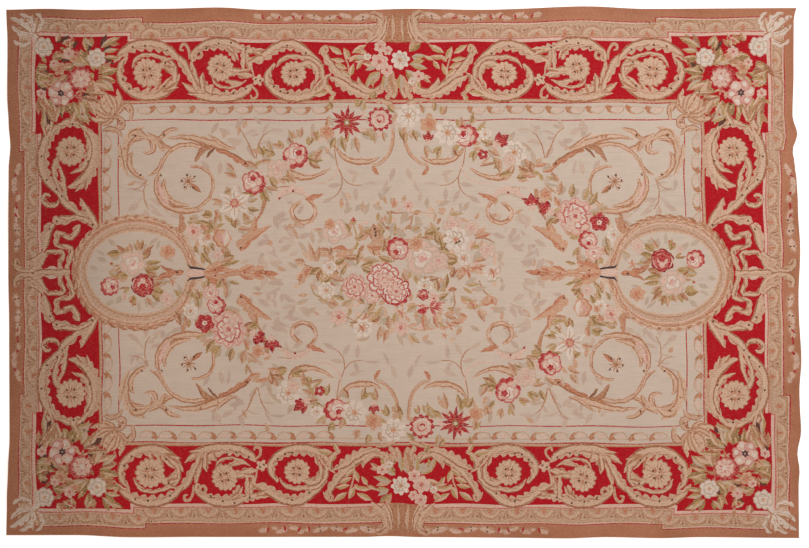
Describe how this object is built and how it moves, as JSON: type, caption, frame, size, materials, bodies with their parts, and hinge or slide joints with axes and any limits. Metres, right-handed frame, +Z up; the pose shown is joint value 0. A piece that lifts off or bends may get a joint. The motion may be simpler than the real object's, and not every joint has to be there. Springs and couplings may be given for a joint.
{
  "type": "aubusson rug",
  "caption": "Rectangular flat-woven tapestry rug with a red scrolling border and a cream field of flowers, lying flat on a floor.",
  "frame": {"origin": "on the floor, under the middle of the rug", "axes": "+X along the rug's length, +Y across its width, +Z up out of its face"},
  "size_m": [2.7553, 1.8427, 0.01],
  "materials": {
    "woven_wool": "matt weft-faced wool in cream, madder red, terracotta, rose and olive"
  },
  "bodies": {
    "root": {"rug": "woven_wool"}
  },
  "joints": []
}
